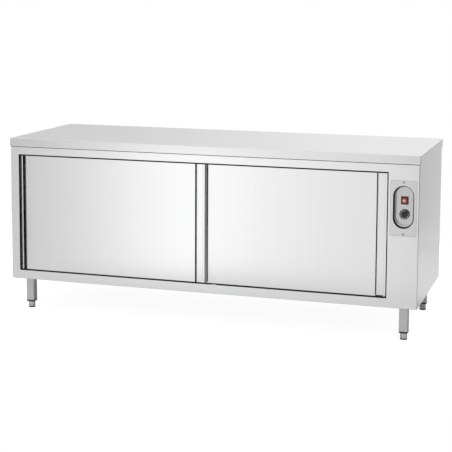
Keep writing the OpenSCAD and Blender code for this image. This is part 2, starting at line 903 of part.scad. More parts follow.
module foot(side, row) {
  rim = 1;
  color("gray") translate([leg_x(side), leg_y(row), 0]) {
    cylinder(r = foot_r, h = foot_h - clear);
    cylinder(r = foot_r + rim, h = pad_h);
    cylinder(r = spindle_r, h = spindle_top);
  }
}

module foot_front_left() { foot(-1, -1); }
module foot_front_right() { foot(1, -1); }
module foot_rear_left() { foot(-1, 1); }
module foot_rear_right() { foot(1, 1); }

worktop();
worktop_core();
worktop_bearers();
top_panel();
base_panel();
left_panel();
right_panel();
back_panel();
left_stile();
top_rail();
bottom_rail();
control_column();
liner_left();
air_panel();
liner_back();
liner_ceiling();
liner_floor();
insulation();
shelf();
shelf_supports();
top_track();
bottom_guide();
door_buffers();
door_left_skin();
door_left_back();
door_left_core();
door_left_hangers();
door_left_glides();
wheel_left_1();
wheel_left_2();
door_right_skin();
door_right_back();
door_right_core();
door_right_hangers();
door_right_glides();
wheel_right_1();
wheel_right_2();
control_plate();
control_well();
well_trim();
plate_screws();
switch_housing();
rocker();
knob();
thermostat_shaft();
thermostat_body();
safety_cutout();
terminal_block();
cable_gland();
heater_box();
heater_element();
fan_motor();
fan_wheel();
legs();
foot_inserts();
foot_front_left();
foot_front_right();
foot_rear_left();
foot_rear_right();
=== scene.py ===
"""Looks of a stainless hot cupboard with two sliding doors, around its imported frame."""
import json
import math

import bmesh
import bpy
from mathutils import Matrix, Vector


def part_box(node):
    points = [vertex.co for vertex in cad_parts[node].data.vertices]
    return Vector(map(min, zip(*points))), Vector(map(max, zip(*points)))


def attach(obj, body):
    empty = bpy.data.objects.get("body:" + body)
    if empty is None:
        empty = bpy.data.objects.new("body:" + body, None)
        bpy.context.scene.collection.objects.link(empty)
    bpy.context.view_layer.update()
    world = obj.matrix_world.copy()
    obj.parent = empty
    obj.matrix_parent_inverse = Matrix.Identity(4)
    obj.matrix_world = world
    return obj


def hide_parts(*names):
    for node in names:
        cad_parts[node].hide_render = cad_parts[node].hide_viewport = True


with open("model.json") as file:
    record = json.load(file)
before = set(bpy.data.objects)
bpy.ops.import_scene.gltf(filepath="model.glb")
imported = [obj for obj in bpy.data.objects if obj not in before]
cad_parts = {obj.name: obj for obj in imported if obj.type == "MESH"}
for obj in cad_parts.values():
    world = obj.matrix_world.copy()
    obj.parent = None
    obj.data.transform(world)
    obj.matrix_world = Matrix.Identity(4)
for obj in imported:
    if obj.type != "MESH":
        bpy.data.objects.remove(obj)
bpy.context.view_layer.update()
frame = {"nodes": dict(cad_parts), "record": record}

MM = 0.001
scene = bpy.context.scene

# Camera, from the photograph's straight edges
PHOTO_PIXELS = 452
SENSOR = 36.0
CAMERA_PLACE = Vector((1.8291, -5.8343, 1.5672))
CAMERA_YAW = 0.3051
CAMERA_PITCH = 0.1124
CAMERA_ROLL = 0.0051
CAMERA_REACH = 100
FOCAL_PIXELS = 1259.1
HORIZON_SHIFT = -0.2064

# Sheet metal
SHEET = 1.0 * MM
FOLD = 1.2 * MM
EASE = 0.4 * MM
EASE_STEPS = 2
BEND_STEPS = 4
FRAME_EDGE = 2.2 * MM
HOLE_EDGE = 0.5 * MM
SEAM = 1.0 * MM
TOP_SEAM = 1.3 * MM
TOP_SHEET = 1.5 * MM
TOP_EDGE = 2.0 * MM
TOP_CORNER = 3.0 * MM
TOP_FLANGE = 14 * MM
SHARP_ANGLE = math.radians(40)
FLAT_WEIGHT = 90

# How far a face looks to the front or back, which decides between a piece's two steels: the darker copies are
# painted shade on the worktop's edges and the well's floor, and a painted reflection on the frame's folds
EDGE_FACING = 0.5
FOLD_FACING = (0.05, 0.98)
WALL_FACING = 0.7

# Doors
SHADE_STRIP_T = 1.5 * MM
SHADE_STRIP_DROP = 8.3 * MM
SILL_RISE = 2.8 * MM
SILL_DIP = 1.3 * MM
GROOVE = 4.6 * MM
GROOVE_GAP = 2 * MM
GUIDE_WALL = 2 * MM
DOOR_LIP = 11.2 * MM
PULL_W = 36 * MM
PULL_DEPTH = 20.5 * MM
DOOR_FOLD = 0.7 * MM
RAKE = 2.6 * MM
BATT_GAP = (-4 * MM, 34 * MM)

# Control plate and well
WELL_W = 94 * MM
WELL_H = 193 * MM
WELL_MOUTH = 90 * MM
WELL_FOOT = 77 * MM
WELL_FILLET = 1.5 * MM
FILLET_TURN = 60
FILLET_STEPS = 3
TRIM_DEPTH = 17 * MM
PLATE_SEAM = 0.8 * MM
PLATE_CORNER = 3 * MM
SHAFT_HOLE = 4.2 * MM
WASHER_R = 4.6 * MM
CROSS_W = 0.9 * MM
CROSS_L = 4.2 * MM
DOME_TURN = 75
DOME_STEPS = 5
SMALL_STEPS = 32

# Switch
SWITCH_W = 34 * MM
SWITCH_H = 37 * MM
SWITCH_WALL = 1.2 * MM
BEZEL_T = 2.5 * MM
BEZEL_EDGE = 1.8 * MM
BEZEL_CORNER = 1.6 * MM
CUP_CORNER = 0.6 * MM
ROCKER_SIDE_GAP = 0.3 * MM
ROCKER_END_GAP = 0.6 * MM
ROCKER_RISE = 3.5 * MM
ROCKER_EDGE = 0.5 * MM
ROCKER_TILT = math.radians(8)
DISH_STEPS = 10
PIVOT_DEPTH = 4 * MM
PIVOT_R = 1.5 * MM
PIVOT_PIN = 0.9 * MM
PIVOT_STEPS = 24
MARK_PROUD = 0.08 * MM
MARK_SHARE = 0.55
BAR_MARK = (0.9 * MM, 4.5 * MM)
RING_MARK = (2.4 * MM, 1.6 * MM)

# Knob
KNOB_R = 23 * MM
SKIRT_H = 5 * MM
GRIP_R = 14 * MM
GRIP_DROP = 4 * MM
GRIP_TAPER = (1.6 * MM, 2.2 * MM, 3 * MM)
FLUTES = 20
FLUTE_STEPS = 8
FLUTE_DEPTH = 0.9 * MM
POINTER_BAR = (7 * MM, 24 * MM)
POINTER_LINE = (3.6 * MM, 11.5 * MM)
DIAL_START = 90
DIAL_SWEEP = 270
TICKS = 28
TICKS_A_NUMBER = 4
TICK_END = 1.2 * MM
LONG_TICK = (3.6 * MM, 0.9 * MM)
SHORT_TICK = (2.4 * MM, 0.45 * MM)
NUMBERS = ["0", "30", "40", "50", "60", "70", "80", "90"]
NUMBER_SIZE = 6.6 * MM
NUMBER_INSET = 6.0 * MM
NUMBER_T = 0.05 * MM
NUMBER_WEIGHT = 0.14 * MM
MERGE = 0.002 * MM

# Legs
LEG_CORNER = 4 * MM
LEG_CAP = 3 * MM
LEG_WELD = 3 * MM
PLUG_CHAMFER = 1.2 * MM

# Feet, with profiles that step in from the rim, and up from the floor or pad or down from the shoulder
FEET = ["foot_front_left", "foot_front_right", "foot_rear_left", "foot_rear_right"]
PAD_H = 5 * MM
PAD_STEP = 1 * MM
PAD_PROFILE = [(1.5 * MM, 0), (0, 1 * MM), (0, PAD_H - 1 * MM), (0.6 * MM, PAD_H)]
FOOT_LOW = [(0.8 * MM, 0), (0, 1 * MM)]
FOOT_HIGH = [(0, 2.5 * MM), (0.4 * MM, 1.2 * MM), (1.6 * MM, 0)]
FOOT_GAP = 0.3 * MM
SPINDLE_R = 5 * MM


# Places read from the frame

def centre_of(node):
    lo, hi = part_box(node)
    return (lo + hi) / 2


FRAME_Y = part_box("control_column")[0].y
WELL_LO, WELL_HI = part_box("control_well")
WELL_X = (WELL_LO.x + WELL_HI.x) / 2
WELL_Z = (WELL_LO.z + WELL_HI.z) / 2
WELL_FLOOR = WELL_HI.y - SHEET
FOOT_AXES = [Vector((centre_of(node).x, centre_of(node).y, 0)) for node in FEET]


# Outlines

def angles(start, end, steps=BEND_STEPS):
    """Even turns from start to end, given in degrees and put out in radians."""
    return [math.radians(start + (end - start) * i / steps) for i in range(steps + 1)]


def arc(centre, radius, start, end, steps=BEND_STEPS):
    """Points round a centre, from one angle to another in degrees."""
    return [(centre[0] + radius * math.cos(a), centre[1] + radius * math.sin(a))
            for a in angles(start, end, steps)]


def rounded_rect(x0, x1, y0, y1, r):
    """Closed outline of a rectangle with round corners."""
    corners = [(x1 - r, y0 + r, -90), (x1 - r, y1 - r, 0), (x0 + r, y1 - r, 90), (x0 + r, y0 + r, 180)]
    return [p for x, y, start in corners for p in arc((x, y), r, start, start + 90)]


def centred_rect(w, h, r):
    return rounded_rect(-w / 2, w / 2, -h / 2, h / 2, r)


def stadium(w, h, steps=20):
    """Closed outline of an upright slot with round ends."""
    lift = (h - w) / 2
    return arc((0, lift), w / 2, 0, 180, steps) + arc((0, -lift), w / 2, 180, 360, steps)


def circle(r, steps=48):
    return arc((0, 0), r, 0, 360, steps)[:-1]


def folded_sheet(path, thickness, bend):
    """Closed outline of a sheet folded along the middle line path, with round bends."""
    line = [Vector(p) for p in path]
    samples = [(line[0], (line[1] - line[0]).normalized())]
    for before, corner, after in zip(line, line[1:], line[2:]):
        a = (corner - before).normalized()
        b = (after - corner).normalized()
        centre = corner - a * bend + b * bend
        for t in angles(0, 90):
            samples.append((centre + a * bend * math.sin(t) - b * bend * math.cos(t),
                            (a * math.cos(t) + b * math.sin(t)).normalized()))
    samples.append((line[-1], (line[-1] - line[-2]).normalized()))
    sides = [[p + Vector((-d.y, d.x)) * s * thickness / 2 for p, d in samples] for s in (1, -1)]
    return sides[0] + sides[1][::-1]


def on_front(outline, y, x=WELL_X, z=WELL_Z):
    """An outline stood up on the front plane, round the well's centre or another."""
    return [Vector((x + u, y, z + v)) for u, v in outline]


# Mesh building

def loft(bm, loops, material=0, ring=False):
    """Skins loops of equal length with quads, and closes both ends or joins the last loop to the first."""
    rows = [[bm.verts.new(p) for p in loop] for loop in loops]
    pairs = list(zip(rows, rows[1:]))
    if ring:
        pairs.append((rows[-1], rows[0]))
    made = []
    for a, b in pairs:
        for i in range(len(a)):
            j = (i + 1) % len(a)
            made.append(bm.faces.new((a[i], a[j], b[j], b[i])))
    if not ring:
        made += [bm.faces.new(rows[0]), bm.faces.new(rows[-1])]
    for face in made:
        face.material_index = material


def eased_box(bm, lo, hi, ease):
    """A box with eased edges."""
    verts = bmesh.ops.create_cube(bm, size=1)["verts"]
    for v in verts:
        v.co = [lo[i] + (v.co[i] + 0.5) * (hi[i] - lo[i]) for i in range(3)]
    edges = list(dict.fromkeys(e for v in verts for e in v.link_edges))
    bmesh.ops.bevel(bm, geom=edges, offset=ease, segments=EASE_STEPS, affect="EDGES", profile=0.5)


def lathe(bm, place, profile, material=0):
    """Turns (radius, height) pairs round the upright axis at place."""
    loft(bm, [[place + Vector((x, y, z)) for x, y in circle(r)] for r, z in profile], material)


def front_cutter(outline, y0, y1, x=WELL_X, z=WELL_Z):
    """A straight cutter through the front, from y0 to y1."""
    bm = bmesh.new()
    loft(bm, [on_front(outline, y, x, z) for y in (y0, y1)])
    return bm


def new_object(name, bm, materials):
    bmesh.ops.recalc_face_normals(bm, faces=bm.faces)
    mesh = bpy.data.meshes.new(name)
    bm.to_mesh(mesh)
    bm.free()
    mesh.shade_smooth()
    mesh.set_sharp_from_angle(angle=SHARP_ANGLE)
    for material in materials:
        mesh.materials.append(material)
    obj = bpy.data.objects.new(name, mesh)
    scene.collection.objects.link(obj)
    return obj


def seat(obj, body, slot, *nodes):
    """Rides a piece on its body, hides the nodes that it stands for, and shades it flat; its slot is not
    used.
    """
    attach(obj, body)
    if nodes:
        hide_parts(*nodes)
    modifier = obj.modifiers.new("flat faces", "WEIGHTED_NORMAL")
    modifier.keep_sharp = True
    modifier.weight = FLAT_WEIGHT


def finished_mesh(obj):
    """The mesh that an object's modifiers or letters give."""
    bpy.context.view_layer.update()
    graph = bpy.context.evaluated_depsgraph_get()
    return bpy.data.meshes.new_from_object(obj.evaluated_get(graph))


def cut(obj, *tools):
    """Takes closed meshes away from a piece."""
    for bm in tools:
        tool = new_object("cutter", bm, [])
        modifier = obj.modifiers.new("cut", "BOOLEAN")
        modifier.operation = "DIFFERENCE"
        modifier.solver = "EXACT"
        modifier.object = tool
        shaped = finished_mesh(obj)
        obj.modifiers.clear()
        obj.data = shaped
        bpy.data.objects.remove(tool)
    obj.data.set_sharp_from_angle(angle=SHARP_ANGLE)
    return obj


def keep_from_mirrors(obj):
    """Leaves a piece out of the mirror images on other steel, so that these show the studio's cloth."""
    obj.visible_glossy = False


# Shader nodes

def grey(level, warm=0.0):
    return (level * (1 + warm), level, level * (1 - warm), 1)


def feed(tree, socket, value):
    """Sets a socket to a number, or links another socket to it."""
    if isinstance(value, (int, float)):
        socket.default_value = value
    else:
        tree.links.new(value, socket)


def math_node(tree, operation, a, b):
    node = tree.nodes.new("ShaderNodeMath")
    node.operation = operation
    feed(tree, node.inputs[0], a)
    feed(tree, node.inputs[1], b)
    return node.outputs[0]


def noise(tree, vector, scale, detail, rough=0.5):
    node = tree.nodes.new("ShaderNodeTexNoise")
    feed(tree, node.inputs["Scale"], scale)
    node.inputs["Detail"].default_value = detail
    node.inputs["Roughness"].default_value = rough
    tree.links.new(vector, node.inputs["Vector"])
    return node.outputs["Fac"]


def own_place(tree):
    """A piece's own coordinates, in metres."""
    return tree.nodes.new("ShaderNodeTexCoord").outputs["Object"]


def own_axes(tree):
    """A piece's own coordinates, axis by axis."""
    node = tree.nodes.new("ShaderNodeSeparateXYZ")
    tree.links.new(own_place(tree), node.inputs[0])
    return node.outputs


def swing(tree, pattern, reach):
    """A pattern of 0 to 1 turned into a swing round zero, times its reach."""
    return math_node(tree, "MULTIPLY", math_node(tree, "SUBTRACT", pattern, 0.5), reach)


def share_of(tree, value, reach):
    """Where a value lies between the two ends of a reach, as 0 to 1."""
    node = tree.nodes.new("ShaderNodeMapRange")
    node.inputs["From Min"].default_value, node.inputs["From Max"].default_value = reach
    tree.links.new(value, node.inputs["Value"])
    return node.outputs["Result"]


def colour_ramp(tree, share, stops):
    """Colours at places from 0 to 1 along a value."""
    node = tree.nodes.new("ShaderNodeValToRGB")
    spots = node.color_ramp.elements
    spots.remove(spots[-1])
    for i, (place, colour) in enumerate(stops):
        spot = spots.new(place) if i else spots[0]
        spot.position = place
        spot.color = colour
    tree.links.new(share, node.inputs["Fac"])
    return node.outputs["Color"]


# Node groups

def new_group(name, inputs):
    """A shader group with inputs of (name, type, value), which puts out a colour, roughness and height."""
    tree = bpy.data.node_groups.new(name, "ShaderNodeTree")
    for label, kind, value in inputs:
        socket = tree.interface.new_socket(label, in_out="INPUT", socket_type=kind)
        socket.default_value = value
    for label, kind in (("Color", "NodeSocketColor"), ("Roughness", "NodeSocketFloat"),
                        ("Height", "NodeSocketFloat")):
        tree.interface.new_socket(label, in_out="OUTPUT", socket_type=kind)
    return tree, tree.nodes.new("NodeGroupInput").outputs, tree.nodes.new("NodeGroupOutput").inputs


def put_out(tree, given, put, tone, gloss, height):
    """Ends a group: its tint lighter or darker by a tone, its gloss as roughness, and its relief."""
    tinted = tree.nodes.new("ShaderNodeVectorMath")
    tinted.operation = "SCALE"
    tree.links.new(given["Tint"], tinted.inputs[0])
    tree.links.new(math_node(tree, "ADD", tone, 1.0), tinted.inputs["Scale"])
    tree.links.new(tinted.outputs[0], put["Color"])
    tree.links.new(math_node(tree, "ADD", gloss, given["Gloss"]), put["Roughness"])
    tree.links.new(height, put["Height"])
    return tree


def brushed_grain():
    """Long brushing lines, soft wider bands and faint rubbed patches of sheet steel."""
    tree, given, put = new_group("brushed_grain", [
        ("Tint", "NodeSocketColor", grey(0.8)), ("Stretch", "NodeSocketVector", (3, 900, 900)),
        ("Bands", "NodeSocketFloat", 0.03), ("Lines", "NodeSocketFloat", 0.05),
        ("Gloss", "NodeSocketFloat", 0.3), ("Gloss Spread", "NodeSocketFloat", 0.03)])
    stretched = tree.nodes.new("ShaderNodeVectorMath")
    stretched.operation = "MULTIPLY"
    tree.links.new(own_place(tree), stretched.inputs[0])
    tree.links.new(given["Stretch"], stretched.inputs[1])
    lines = noise(tree, stretched.outputs[0], scale=1.0, detail=4, rough=0.6)
    bands = noise(tree, stretched.outputs[0], scale=0.08, detail=2)
    patches = noise(tree, own_place(tree), scale=3.0, detail=3)
    tone = math_node(tree, "ADD", swing(tree, lines, given["Lines"]), swing(tree, bands, given["Bands"]))
    line_share = 0.5
    mean = 0.5 * line_share + 0.5
    rubbed = math_node(tree, "ADD", math_node(tree, "MULTIPLY", lines, line_share), patches)
    gloss = math_node(tree, "MULTIPLY", math_node(tree, "SUBTRACT", rubbed, mean), given["Gloss Spread"])
    return put_out(tree, given, put, tone, gloss, lines)


def moulded_skin():
    """Fine spark-eroded texture and slight rubbed shine of moulded plastic and rubber."""
    tree, given, put = new_group("moulded_skin", [
        ("Tint", "NodeSocketColor", grey(0.03)), ("Grit", "NodeSocketFloat", 2500.0),
        ("Uneven", "NodeSocketFloat", 0.2), ("Gloss", "NodeSocketFloat", 0.45)])
    place = own_place(tree)
    grit = noise(tree, place, scale=given["Grit"], detail=3)
    rubbed = noise(tree, place, scale=60.0, detail=3)
    tone = swing(tree, rubbed, given["Uneven"])
    return put_out(tree, given, put, tone, tone, grit)


def mottled_coat():
    """Cells and grain of zinc coats, castings, chipboard and pressed wool."""
    tree, given, put = new_group("mottled_coat", [
        ("Tint", "NodeSocketColor", grey(0.6)), ("Cells", "NodeSocketFloat", 120.0),
        ("Contrast", "NodeSocketFloat", 0.25), ("Gloss", "NodeSocketFloat", 0.45)])
    place = own_place(tree)
    cells = tree.nodes.new("ShaderNodeTexVoronoi")
    tree.links.new(place, cells.inputs["Vector"])
    tree.links.new(given["Cells"], cells.inputs["Scale"])
    split = tree.nodes.new("ShaderNodeSeparateColor")
    tree.links.new(cells.outputs["Color"], split.inputs[0])
    grain = noise(tree, place, scale=700.0, detail=4)
    cell_share = 0.6
    mixed = math_node(tree, "ADD", math_node(tree, "MULTIPLY", split.outputs[0], cell_share),
                      math_node(tree, "MULTIPLY", grain, 1 - cell_share))
    tone = swing(tree, mixed, given["Contrast"])
    return put_out(tree, given, put, tone, tone, mixed)


GRAIN = brushed_grain()
SKIN = moulded_skin()
MOTTLE = mottled_coat()


# Materials

def new_material(name):
    material = bpy.data.materials.new(name)
    material.use_nodes = True
    return material, material.node_tree


def surface(name, group, bump, depth, metallic, **values):
    """A material of one Principled shader fed by a placed group."""
    material, tree = new_material(name)
    shader = tree.nodes["Principled BSDF"]
    shader.inputs["Metallic"].default_value = metallic
    effect = tree.nodes.new("ShaderNodeGroup")
    effect.node_tree = group
    for label, value in values.items():
        effect.inputs[label].default_value = value
    relief = tree.nodes.new("ShaderNodeBump")
    relief.inputs["Strength"].default_value = bump
    relief.inputs["Distance"].default_value = depth
    tree.links.new(effect.outputs["Color"], shader.inputs["Base Color"])
    tree.links.new(effect.outputs["Roughness"], shader.inputs["Roughness"])
    tree.links.new(effect.outputs["Height"], relief.inputs["Height"])
    tree.links.new(relief.outputs["Normal"], shader.inputs["Normal"])
    return material


STEEL_WARMTH = -0.003
STEEL_RELIEF = (0.04, 0.05 * MM)
PLASTIC_RELIEF = (0.15, 0.05 * MM)
COAT_RELIEF = (0.1, 0.1 * MM)
RUBBER_SHEEN = 0.15


def steel(name, level, stretch, gloss):
    tint = grey(level, STEEL_WARMTH)
    return surface(name, GRAIN, *STEEL_RELIEF, metallic=1.0, Tint=tint, Stretch=stretch, Gloss=gloss)


def plastic(name, tint, gloss, uneven=0.2):
    return surface(name, SKIN, *PLASTIC_RELIEF, metallic=0.0, Tint=tint, Gloss=gloss, Uneven=uneven)


def coat(name, tint, cells, contrast, gloss, metallic=0.0):
    return surface(name, MOTTLE, *COAT_RELIEF, metallic=metallic, Tint=tint, Cells=cells,
                   Contrast=contrast, Gloss=gloss)


LENS_RED = (0.17, 0.016, 0.011, 1)
LENS_GLOW = [(0.0, (0.98, 0.70, 0.62, 1)), (0.45, (0.50, 0.19, 0.15, 1)), (1.0, (0.07, 0.010, 0.006, 1))]
LENS_POWER = 0.86
GLOW_REACH = (2.0 * MM, 11.5 * MM)
GLOW_SHIFT = Vector((3.2 * MM, 0, 1.2 * MM))


def lit_lens(name):
    """Red lens of the switch, lit from behind its middle."""
    material = plastic(name, LENS_RED, gloss=0.25, uneven=0.1)
    tree = material.node_tree
    shader = tree.nodes["Principled BSDF"]
    shader.inputs["Emission Strength"].default_value = LENS_POWER
    away = tree.nodes.new("ShaderNodeVectorMath")
    away.operation = "DISTANCE"
    away.inputs[1].default_value = centre_of("rocker") - GLOW_SHIFT
    tree.links.new(own_place(tree), away.inputs[0])
    glow = colour_ramp(tree, share_of(tree, away.outputs["Value"], GLOW_REACH), LENS_GLOW)
    tree.links.new(glow, shader.inputs["Emission Color"])
    return material


# Steels by level, brushing direction and gloss, then coats and plastics
ALONG_X = (2.5, 900, 900)
ALONG_Z = (900, 900, 2.5)
TURNED = (600, 600, 900)
PLAIN = (600, 600, 600)
STEELS = {
    "worktop_steel": (0.80, ALONG_X, 0.30),
    "edge_shaded_steel": (0.735, ALONG_X, 0.22),
    "panel_steel": (0.80, ALONG_X, 0.30),
    "frame_steel": (0.80, ALONG_X, 0.22),
    "fold_reflection_steel": (0.28, ALONG_X, 0.20),
    "door_steel": (0.80, ALONG_Z, 0.20),
    "plate_steel": (0.76, ALONG_Z, 0.36),
    "pan_shaded_steel": (0.58, ALONG_Z, 0.20),
    "wall_steel": (0.85, ALONG_X, 0.15),
    "liner_steel": (0.70, ALONG_X, 0.35),
    # The legs' steel is set darker, as painted shade under the cupboard
    "leg_steel": (0.62, ALONG_Z, 0.50),
    "foot_steel": (0.62, TURNED, 0.25),
    "screw_steel": (0.62, PLAIN, 0.30),
    "fan_alloy": (0.72, PLAIN, 0.40),
}
FINISH = {name: steel(name, *values) for name, values in STEELS.items()}
FINISH.update({
    "zinc_steel": coat("zinc_steel", grey(0.58, -0.02), cells=120.0, contrast=0.25, gloss=0.42, metallic=1.0),
    "board": coat("board", (0.48, 0.34, 0.20, 1), cells=260.0, contrast=0.5, gloss=0.8),
    "mineral_wool": coat("mineral_wool", (0.44, 0.44, 0.42, 1), cells=500.0, contrast=0.5, gloss=0.9),
    "heater_tube": coat("heater_tube", (0.16, 0.15, 0.14, 1), cells=400.0, contrast=0.4, gloss=0.5,
                        metallic=0.8),
    "motor_paint": coat("motor_paint", (0.26, 0.27, 0.29, 1), cells=300.0, contrast=0.15, gloss=0.45),
    "rubber": plastic("rubber", grey(0.018), gloss=0.60),
    "nylon": plastic("nylon", (0.78, 0.78, 0.74, 1), gloss=0.45, uneven=0.08),
    "black_plastic": plastic("black_plastic", grey(0.028), gloss=0.42),
    "knob_plastic": plastic("knob_plastic", grey(0.042), gloss=0.42),
    "ivory_plastic": plastic("ivory_plastic", (0.76, 0.72, 0.58, 1), gloss=0.40, uneven=0.08),
    "red_lens": lit_lens("red_lens"),
})
RUBBER = FINISH["rubber"].node_tree.nodes["Principled BSDF"]
RUBBER.inputs["Specular IOR Level"].default_value = RUBBER_SHEEN
MARK_PAINT = plastic("mark_paint", grey(0.85), gloss=0.55, uneven=0.05)


def dress_nodes():
    """Gives every carried-over node the finish of its slot."""
    keep_from_mirrors(frame["nodes"]["door_left_back"])
    for part in frame["record"]["subparts"]:
        obj = frame["nodes"][part["node"]]
        if not obj.data.materials:
            obj.data.materials.append(None)
        for entry in obj.material_slots:
            entry.material = FINISH[part["material_slot"]]


# Sheet metal pieces

def make_worktop():
    """Folded top with round edges and a flange turned in below."""
    lo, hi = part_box("worktop")

    def loop(inset, z):
        r = max(TOP_CORNER - inset, EASE)
        outline = rounded_rect(lo.x + inset, hi.x - inset, lo.y + inset, hi.y - inset, r)
        return [(x, y, z) for x, y in outline]

    loops = [loop(TOP_EDGE * (1 - math.sin(a)), hi.z - TOP_EDGE * (1 - math.cos(a))) for a in angles(0, 90)]
    loops += [loop(FOLD * (1 - math.cos(a)), lo.z + FOLD * (1 - math.sin(a))) for a in angles(0, 90)]
    loops += [loop(TOP_FLANGE, lo.z), loop(TOP_FLANGE, lo.z + TOP_SHEET), loop(TOP_SHEET, lo.z + TOP_SHEET),
              loop(TOP_SHEET, hi.z - TOP_SHEET)]
    bm = bmesh.new()
    loft(bm, loops)
    bmesh.ops.recalc_face_normals(bm, faces=bm.faces)
    # Front and back faces take a darker copy of the top's steel, as painted shade
    for face in bm.faces:
        face.material_index = int(abs(face.normal.y) > EDGE_FACING)
    shell = new_object("worktop_shell", bm, [FINISH["worktop_steel"], FINISH["edge_shaded_steel"]])
    seat(shell, "cabinet", "worktop_steel", "worktop")


def make_front_frame():
    """One welded and polished frame round the door opening, with the control column."""
    stile_lo, stile_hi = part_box("left_stile")
    column_lo, column_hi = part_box("control_column")
    rail_lo, rail_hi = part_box("bottom_rail")
    x0, x1 = stile_lo.x, column_hi.x
    z0, z1 = stile_lo.z, stile_hi.z - TOP_SEAM
    hole_x0, hole_x1 = stile_hi.x, column_lo.x
    hole_z0, hole_z1 = rail_hi.z - SILL_DIP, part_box("top_rail")[0].z
    front, back = stile_lo.y, stile_hi.y

    def outer(inset, y):
        return [(x0 + inset, y, z0 + inset), (x1 - inset, y, z0 + inset),
                (x1 - inset, y, z1 - inset), (x0 + inset, y, z1 - inset)]

    def inner(grow, y):
        return [(hole_x0 - grow, y, hole_z0 - grow), (hole_x1 + grow, y, hole_z0 - grow),
                (hole_x1 + grow, y, hole_z1 + grow), (hole_x0 - grow, y, hole_z1 + grow)]

    wrap = front + FRAME_EDGE
    loops = [outer(SHEET, front + SHEET), outer(SHEET, wrap), outer(0, wrap)]
    loops += [outer(FRAME_EDGE * (1 - math.cos(a)), front + FRAME_EDGE * (1 - math.sin(a)))
              for a in angles(0, 90)[1:]]
    loops += [inner(HOLE_EDGE * (1 - math.sin(a)), front + HOLE_EDGE * (1 - math.cos(a)))
              for a in angles(0, 90)]
    loops += [inner(0, back), inner(SHEET, back), inner(SHEET, front + SHEET)]
    bm = bmesh.new()
    loft(bm, loops, ring=True)
    bmesh.ops.recalc_face_normals(bm, faces=bm.faces)
    # Faces of the outer folds take a dark copy of the frame's steel, as a painted reflection of the dark side
    # of the room
    for face in bm.faces:
        spot = face.calc_center_median()
        inside = x0 + FRAME_EDGE < spot.x < x1 - FRAME_EDGE and z0 + FRAME_EDGE < spot.z < z1 - FRAME_EDGE
        face.material_index = int(not inside and FOLD_FACING[0] < -face.normal.y < FOLD_FACING[1])
    eased_box(bm, (rail_lo.x, rail_hi.y - SHEET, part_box("bottom_guide")[0].z),
              (rail_hi.x, rail_hi.y, hole_z0 - SHEET), EASE)
    obj = new_object("front_frame", bm, [FINISH["frame_steel"], FINISH["fold_reflection_steel"]])
    cut(obj, front_cutter(stadium(WELL_W, WELL_H), front - FOLD, front + 3 * SHEET))
    keep_from_mirrors(obj)
    seat(obj, "cabinet", "panel_steel", "left_stile", "top_rail", "bottom_rail", "control_column")


def make_side_panels():
    """End panels with a fine shadow seam behind the frame's fold."""
    start = FRAME_Y + FRAME_EDGE + SEAM
    for node in ("left_panel", "right_panel"):
        lo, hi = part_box(node)
        bm = bmesh.new()
        eased_box(bm, (lo.x, start, lo.z), (hi.x, hi.y, hi.z - TOP_SEAM), EASE)
        seat(new_object(node + "_sheet", bm, [FINISH["panel_steel"]]), "cabinet", "panel_steel", node)


def make_guide():
    """Black guide board, hollow below, with a groove for each door."""
    lo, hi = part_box("bottom_guide")
    glides = ["door_left_glides", "door_right_glides"]
    floor = min(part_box(node)[0].z for node in glides) - GROOVE_GAP
    outline = [(lo.y, lo.z), (lo.y, hi.z)]
    for node in glides:
        y0, y1 = centre_of(node).y - GROOVE / 2, centre_of(node).y + GROOVE / 2
        outline += [(y0, hi.z), (y0, floor), (y1, floor), (y1, hi.z)]
    outline += [(hi.y, hi.z), (hi.y, lo.z), (hi.y - GUIDE_WALL, lo.z),
                (hi.y - GUIDE_WALL, floor - GUIDE_WALL), (lo.y + GUIDE_WALL, floor - GUIDE_WALL),
                (lo.y + GUIDE_WALL, lo.z)]
    bm = bmesh.new()
    loft(bm, [[(x, y, z) for y, z in outline] for x in (lo.x, hi.x)])
    obj = new_object("guide_board", bm, [FINISH["black_plastic"]])
    keep_from_mirrors(obj)
    seat(obj, "cabinet", "black_plastic", "bottom_guide")


def make_shade_strips():
    """Rubber strips over and under both doors, and in the seam below the worktop: black strips put in as
    painted shade along these shadow lines.
    """
    lo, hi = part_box("top_rail")
    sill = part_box("bottom_rail")[1].z
    left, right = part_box("left_panel")[0].x + EASE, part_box("right_panel")[1].x - EASE
    front, back = FRAME_Y + EASE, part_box("right_panel")[1].y
    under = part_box("worktop")[0].z
    # Black strips stand in for the shadow lines over and under the doors and below the worktop, as painted
    # shade
    strips = {
        "top_shade_strip": [((lo.x, hi.y, lo.z - SHADE_STRIP_DROP), (hi.x, hi.y + SHADE_STRIP_T, lo.z + SHEET))],
        "sill_shade_strip": [((lo.x, hi.y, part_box("bottom_guide")[1].z), (hi.x, hi.y + SHADE_STRIP_T, sill + SILL_RISE))],
        "worktop_shade_strip": [((left, front, under - TOP_SEAM), (right, front + SHADE_STRIP_T, under)),
                         ((left, front + SHADE_STRIP_T + EASE, under - TOP_SEAM), (left + SHADE_STRIP_T, back, under)),
                         ((right - SHADE_STRIP_T, front + SHADE_STRIP_T + EASE, under - TOP_SEAM), (right, back, under))],
    }
    for name, boxes in strips.items():
        bm = bmesh.new()
        for start, end in boxes:
            eased_box(bm, start, end, EASE / 2)
        strip = new_object(name, bm, [FINISH["rubber"]])
        keep_from_mirrors(strip)
        seat(strip, "cabinet", "rubber")


# Doors

